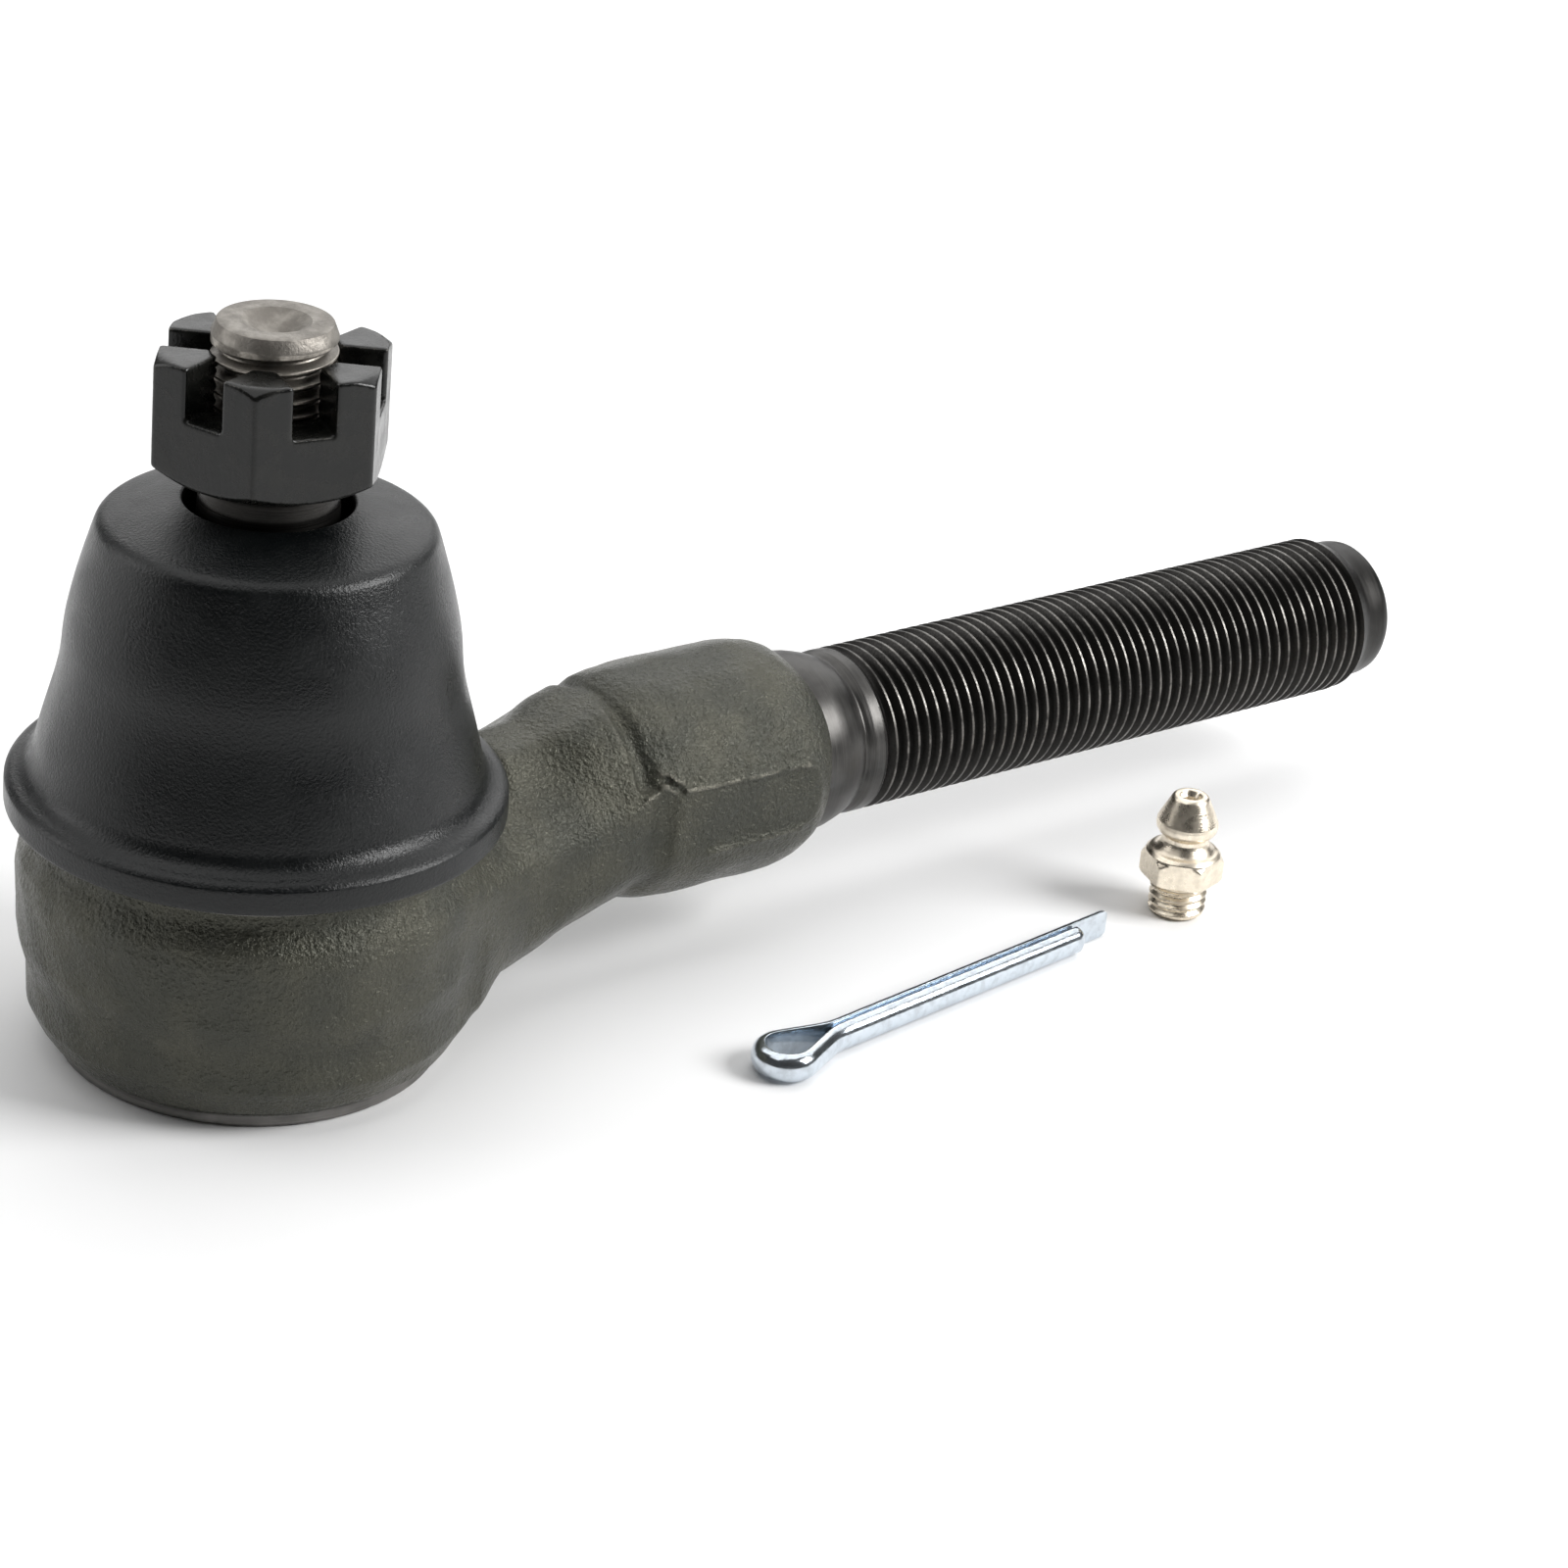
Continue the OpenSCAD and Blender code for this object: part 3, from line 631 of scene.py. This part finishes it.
# ------------------------------------------------------------------ stud
ball_r = BALL_Z - box_mm("ball_stud")[0][2]
arc = [(ball_r * math.sin(a), BALL_Z - ball_r * math.cos(a)) for a in np.linspace(0, math.pi - 0.565, 40)]
arc[0] = (0, arc[0][1])
taper = [
    (6.8, 31.1), (7.4, 34.5), (7.85, 36.7), (6.72, 59.5), (6.55, 60.0), (STUD_R, 60.7), (STUD_R, 60.9),
]
stud_tip = [
    (STUD_R, 74.5), (STUD_R, 74.62), (5.95, 74.75), (5.58, 75.72), (5.5, 75.82), (5.38, 75.87),
    (4.6, STUD_TOP), (3.42, STUD_TOP - 0.02), (3.3, STUD_TOP - 0.1), (0.8, STUD_TOP - 1.7),
    (0.35, STUD_TOP - 1.86), (0, STUD_TOP - 1.9),
]
run_in, run_out = (61.2, 62.2), (73.9, 74.35)
verts, faces = threaded_bar(arc + taper, 61.15, 8, STUD_R, 0.86, run_in, run_out, stud_tip, 96)
finishes = [stud_thread, stud_steel, stud_dark, ball_steel]
stud = piece("ball_stud_turned", verts, faces, "stud", finishes, ["ball_stud"], 24)
height = face_middles(verts, faces, 2)
set_finishes(stud, np.where(height > 74.4, 1, np.where(height > 60.8, 0, np.where(height > 31, 2, 3))))

# cross-hole for the cotter pin
hole = mounts["cotter_hole"]
along = Vector(hole["axis"]).normalized()
hole_r, reach = hole["dims"]["r_mm"], 9
verts, faces = lathe([(0, -reach), (hole_r, -reach), (hole_r, reach), (0, reach)], 40)
drill = bpy.data.objects.new("drill", bpy.data.meshes.new("drill"))
drill.data.from_pydata((verts * MM).tolist(), [], faces)
turned = along.to_track_quat("Z", "Y").to_matrix().to_4x4()
drill.data.transform(Matrix.Translation(hole["pos_m"]) @ turned)
bpy.context.scene.collection.objects.link(drill)
cut = stud.modifiers.new("cross_hole", "BOOLEAN")
cut.operation, cut.object, cut.solver = "DIFFERENCE", drill, "EXACT"
bpy.context.view_layer.update()
drilled = bpy.data.meshes.new_from_object(stud.evaluated_get(bpy.context.evaluated_depsgraph_get()))
stud.modifiers.clear()
stud.data = drilled
bpy.data.objects.remove(drill)


# ------------------------------------------------------------------ nut
def hexagon(x, y, turn, half_flats, k):
    """Six-sided bar about Z, its edges rounded over k."""
    shape = np.full(np.shape(x), -99.0)
    for side in range(3):
        a = turn + math.radians(60) * side
        shape = smax(shape, np.abs(x * math.cos(a) + y * math.sin(a)) - half_flats, k)
    return shape


def nut_shape(x, y, z):
    r = np.hypot(x, y)
    flats = NUT_FLATS / 2
    shape = hexagon(x, y, NUT_TURN, flats, 0.22)
    high = ((r - flats - 0.6) * 0.8 + (z - NUT_HIGH) * 1.1) / math.hypot(0.8, 1.1)
    low = ((r - flats + 0.3) * 1.3 - (z - NUT_LOW) * 2.0) / math.hypot(1.3, 2.0)
    shape = smax(smax(shape, high, 0.2), low, 0.2)
    shape = smax(smax(shape, z - NUT_HIGH, 0.25), NUT_LOW - z, 0.2)
    for k in range(3):
        a = NUT_TURN + math.radians(60) * k
        slot = np.abs(y * math.cos(a) - x * math.sin(a)) - 2.15
        shape = smax(shape, -smax(slot, SLOT_FLOOR - z, 0.5), 0.28)
    turn = np.arctan2(y, x) / (2 * math.pi)
    form = np.abs(((z - NUT_LOW) / THREAD_PITCH - turn) % 1 - 0.5) * 2
    shape = smax(shape, 6.07 + 0.4 * form - r, 0.1)
    return smax(shape, (7.0 - r + NUT_LOW - z) / 1.41, 0.1)


grid = 0.2
verts, faces = surface_of(nut_shape, (-12.6, -12.6, NUT_LOW - 0.6), (12.6, 12.6, NUT_HIGH + 0.6), grid)
nut = piece("castle_nut_body", verts, faces, "nut", [oxide], ["castle_nut"])
mark_edges(nut)

# ------------------------------------------------------------------ boot
# (radius, height), up the outside and back down the inside
wall_out = curved([
    (RIM_R, 26.2), (RIM_R, 28.1), (24.42, 28.55), (23.95, 28.95), (23.2, 29.3), (22.5, 29.85),
    (22.0, 30.7), (21.7, 32.0), (21.15, 34.2), (20.55, 36.4), (20.0, 38.4), (19.55, 40.4),
    (19.3, 42.2), (19.12, 44.2), (18.82, 46.1), (18.25, 48.6), (17.6, 51.0), (17.0, 53.0),
    (16.6, 54.3), (16.25, 55.15), (15.6, 55.75), (14.6, 56.12), (12.4, 56.75), (10.2, 57.4),
    (8.75, 57.82), (8.42, BOOT_TOP), (8.22, 57.7),
], 4)
wall_in = curved([
    (8.2, 57.2), (8.2, 54.2), (8.0, 52.6), (7.5, 51.6), (7.47, 49.6), (7.47, 47.5), (8.2, 47.3),
    (9.3, 47.35), (9.35, 48.1), (8.99, 48.4), (8.97, 50.2), (9.1, 51.3), (10.6, 51.9), (12.6, 51.9),
    (14.0, 51.1), (14.8, 49.6), (15.9, 47.6), (16.9, 45.0), (17.3, 42.5), (17.6, 40.2), (18.4, 37.4),
    (19.3, 34.0), (19.75, 31.0), (20.1, 29.5), (20.4, 28.98),
], 3)
rim = [(21.62, RIM_LOW), (24.35, RIM_LOW), (24.5, 26.0)]
foot = [(21.0, 28.98), (21.6, 28.3)]
verts, faces = lathe(rim + wall_out + wall_in + foot, 160, loop=True)
boot = piece("dust_boot_moulded", verts, faces, None, [rubber], ["dust_boot"], 55)
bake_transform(boot)

# ------------------------------------------------------------------ cotter pin
PIN_R = 1.6
PIN_AT = np.array([48.4, -31.74, PIN_R])
PIN_TURN = math.radians(7.8)
SLIT = 0.25  # half the gap between the legs
LONG_LEG, SHORT_LEG = 44.0, 38.8


def pin_path():
    """Inner face of the bent half-round wire, from the long tip round the eye to the short tip."""
    eye_r, eye_x, throat = 2.3, -4.96, 0.6
    back = math.acos(eye_r / (throat - eye_x))
    turns = np.linspace(back, 2 * math.pi - back, 44)
    arc = [(eye_x + eye_r * math.cos(a), eye_r * math.sin(a)) for a in turns]
    far = [(x, SLIT) for x in np.linspace(LONG_LEG, 1.4, 30)]
    near = [(x, -SLIT) for x in np.linspace(1.4, SHORT_LEG, 28)]
    path = np.array(far + arc + near)
    line = []
    for a, b in zip(path, path[1:]):
        n = max(1, int(np.linalg.norm(b - a) / 0.45))
        line += [a + (b - a) * i / n for i in range(n)]
    line = np.array(line + [path[-1]])
    for _ in range(7):
        line[1:-1] = line[1:-1] * 0.5 + (line[:-2] + line[2:]) * 0.25
    return line


def half_round(path, thick):
    """Sweeps a half-round section along a level path, its flat side on the path."""
    step = np.gradient(path, axis=0)
    step /= np.linalg.norm(step, axis=1)[:, None]
    out = np.stack([step[:, 1], -step[:, 0]], 1)
    form = [(0.0, -0.93), (0.03, -0.99), (0.1, -1.0)]
    turns = np.linspace(-math.pi / 2, math.pi / 2, 15)[1:-1]
    form += [(0.1 + 0.9 * math.cos(a), math.sin(a)) for a in turns]
    form += [(0.1, 1.0), (0.03, 0.99), (0.0, 0.93)]
    n = len(form)
    verts, faces = [], []
    length = np.concatenate([[0], np.cumsum(np.linalg.norm(np.diff(path, axis=0), axis=1))])
    for p, o, s in zip(path, out, length):
        end = min(s, length[-1] - s)
        shrink = 1 - 0.22 * max(0, 1 - end / 0.5) ** 2
        for d, h in form:
            q = p + o * d * thick * shrink
            verts.append((q[0], q[1], h * PIN_R * 0.97 * shrink))
    for i in range(len(path) - 1):
        for k in range(n):
            j = (k + 1) % n
            faces.append((i * n + k, (i + 1) * n + k, (i + 1) * n + j, i * n + j))
    faces.append(tuple(range(n)))
    faces.append(tuple(range(len(path) * n - 1, (len(path) - 1) * n - 1, -1)))
    return np.array(verts), faces


verts, faces = half_round(pin_path(), PIN_R - SLIT)
c, s = math.cos(PIN_TURN), math.sin(PIN_TURN)
verts = verts @ np.array([[c, s, 0], [-s, c, 0], [0, 0, 1]]) + PIN_AT
piece("cotter_pin_wire", verts, faces, "cotter", [zinc], ["cotter_pin"], 50)

# ------------------------------------------------------------------ grease fitting
# (radius, height)
FIT_SIDE = [
    (-1, 0), (2.75, 0), (3.2, 0.5), (3.2, 3.9), (2.8, 4.15), (2.8, 7.0), (4.1, 7.2), (3.6, 7.5),
    (3.1, 7.95), (2.7, 8.45), (2.52, 8.8), (2.5, 9.3), (2.7, 9.55), (3.1, 9.8), (3.34, 10.2),
    (3.42, 10.65), (3.34, 11.15), (2.05, 13.85), (1.75, 14.1), (-1, 14.1),
]
TIP_CUP = [(-1, 12.0), (0.8, 12.0), (0.8, 13.4), (1.3, 14.3), (-1, 14.3)]
FIT_PITCH = 0.907


def fitting_shape(x, y, z):
    x, y = x - FIT_X, y - FIT_Y
    r = np.hypot(x, y)
    turned = poly_distance(FIT_SIDE, r, z)
    wrench = hexagon(x, y, math.radians(45), 4.0, 0.1)
    wrench = smax(wrench, np.abs(z - 5.9) - 1.7, 0.15)
    wrench = smax(wrench, ((r - 4.55) * 1.5 + (z - 6.6) * 1.25) / 1.95, 0.12)
    wrench = smax(wrench, ((r - 4.3) * 0.7 - (z - 4.2) * 0.75) / 1.03, 0.12)
    shape = smin(turned, wrench, 0.25)
    form = np.abs((z / FIT_PITCH - np.arctan2(y, x) / (2 * math.pi)) % 1 - 0.5) * 2
    depth = 0.48 * np.clip(np.minimum(z - 0.2, 3.9 - z) / 0.4, 0, 1)
    shape = np.where(z < 4.0, np.maximum(shape, r - 3.2 + depth * (1 - form)), shape)
    tip_cup = poly_distance(TIP_CUP, r, z)
    core = np.maximum(r - 0.85, z - 5.9)
    room = np.maximum(r - 1.3, np.abs(z - 9.1) - 3.2)
    return smax(smax(shape, -tip_cup, 0.08), -np.minimum(core, room), 0.05)


low, high = (FIT_X - 5.2, FIT_Y - 5.2, -0.3), (FIT_X + 5.2, FIT_Y + 5.2, 14.5)
verts, faces = surface_of(fitting_shape, low, high, 0.1)
piece("fitting_body_turned", verts, faces, "fitting", [nickel], ["fitting_body"])

# spring under the check ball
low, high = box_mm("fitting_spring")
turns, wire, around, across = 7, 0.2, 24, 10
mid_r = (high[0] - low[0]) / 2 - wire
rise = high[2] - low[2] - 2 * wire
verts, faces = [], []
for i in range(turns * around + 1):
    t = i / around
    share = min(max((t - 0.75) / (turns - 1.5), 0), 1)  # closed turns at both ends
    side = np.array([math.cos(2 * math.pi * t), math.sin(2 * math.pi * t), 0])
    at = np.array([FIT_X, FIT_Y, low[2] + wire + share * rise]) + mid_r * side
    for a in np.linspace(0, 2 * math.pi, across, endpoint=False):
        verts.append(at + wire * (side * math.cos(a) + np.array([0, 0, 1]) * math.sin(a)))
rings = [list(range(i, i + across)) for i in range(0, len(verts), across)]
for a, b in zip(rings, rings[1:]):
    faces += ring_faces(a, b)
faces += [tuple(rings[0]), tuple(reversed(rings[-1]))]
coil = piece("fitting_coil", verts, faces, None, [spring_wire], ["fitting_spring"])
foot, head = ((FIT_X * MM, FIT_Y * MM, level * MM) for level in (low[2], high[2]))
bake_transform(coil)

# ------------------------------------------------------------------ CAD nodes that stay
for node, finish in (
    ("cover_plate", plain_steel), ("preload_spring", spring_wire), ("lower_bearing", bronze),
    ("upper_bearing", bronze), ("boot_insert_ring", plain_steel), ("boot_neck_ring", spring_wire),
    ("fitting_ball", ball_steel),
):
    obj = frame["nodes"][node]
    obj.data.materials.clear()
    obj.data.materials.append(finish)

# ------------------------------------------------------------------ stage
floor_finish = Finish("pale_floor", Metallic=0.0, Roughness=0.8)
cloud = floor_finish.noise(300, 2)
floor_finish.done(floor_finish.mix(cloud, (0.93, 0.93, 0.93, 1), (0.95, 0.95, 0.95, 1)))
half, level = 3, -0.0001
corners = [(-half, -half, level), (half, -half, level), (half, half, level), (-half, half, level)]
floor_mesh = bpy.data.meshes.new("floor")
floor_mesh.from_pydata(corners, [], [(0, 1, 2, 3)])
floor_mesh.materials.append(floor_finish.m)
floor = bpy.data.objects.new("floor", floor_mesh)
bpy.context.scene.collection.objects.link(floor)

world = bpy.data.worlds.new("studio")
bpy.context.scene.world = world
world.use_nodes = True
world.node_tree.nodes["Background"].inputs["Color"].default_value = (1, 1, 1, 1)
world.node_tree.nodes["Background"].inputs["Strength"].default_value = 0.06


def area_light(name, place, aim, size, watts):
    data = bpy.data.lights.new(name, "AREA")
    data.shape = "RECTANGLE"
    data.size, data.size_y = size
    data.energy = watts
    obj = bpy.data.objects.new(name, data)
    obj.location = place
    obj.rotation_euler = (Vector(aim) - Vector(place)).to_track_quat("-Z", "Y").to_euler()
    bpy.context.scene.collection.objects.link(obj)


# directions seen from the camera: to its right, and level away from it
RIGHT = Vector((0.777, -0.63, 0))
AWAY_DIR = Vector((0.63, 0.777, 0))
MIDDLE = Vector((0.05, 0, 0.03))
UP = Vector((0, 0, 1))
area_light("overhead", MIDDLE + AWAY_DIR * 0.30 + UP * 0.55, MIDDLE + AWAY_DIR * 0.3001, (1.3, 0.8), 4.4)
area_light("behind", MIDDLE + AWAY_DIR * 1.4 + UP * 0.6, MIDDLE + AWAY_DIR * 0.5, (2.2, 0.8), 9)
area_light("right", MIDDLE + RIGHT * 0.62 - AWAY_DIR * 0.09 + UP * 0.41, MIDDLE, (0.36, 0.36), 6.0)
area_light("left", MIDDLE - RIGHT * 0.7 + UP * 0.25, MIDDLE, (0.5, 0.45), 1.5)

# ------------------------------------------------------------------ camera
AZIMUTH, ELEVATION, ROLL = (math.radians(a) for a in (-39.041, 26.015, 5.574))
AWAY = 0.452
back = Vector((math.sin(AZIMUTH), -math.cos(AZIMUTH), 0)) * math.cos(ELEVATION) + UP * math.sin(ELEVATION)
side = Vector((math.cos(AZIMUTH), math.sin(AZIMUTH), 0))
above = back.cross(side)
right = side * math.cos(ROLL) + above * math.sin(ROLL)
up = above * math.cos(ROLL) - side * math.sin(ROLL)
target = Vector((0.040, 0, 0.025)) + right * 0.019761 - up * 0.005738
camera = bpy.data.objects.new("camera", bpy.data.cameras.new("camera"))
camera.data.lens, camera.data.sensor_width, camera.data.sensor_fit = 100.36, 36, "HORIZONTAL"
camera.data.clip_start, camera.data.clip_end = 0.01, 20
facing = Matrix((right, up, back)).transposed().to_4x4()
camera.matrix_world = Matrix.Translation(target + back * AWAY) @ facing
bpy.context.scene.collection.objects.link(camera)
bpy.context.scene.camera = camera
bpy.context.scene.view_settings.view_transform = "Standard"
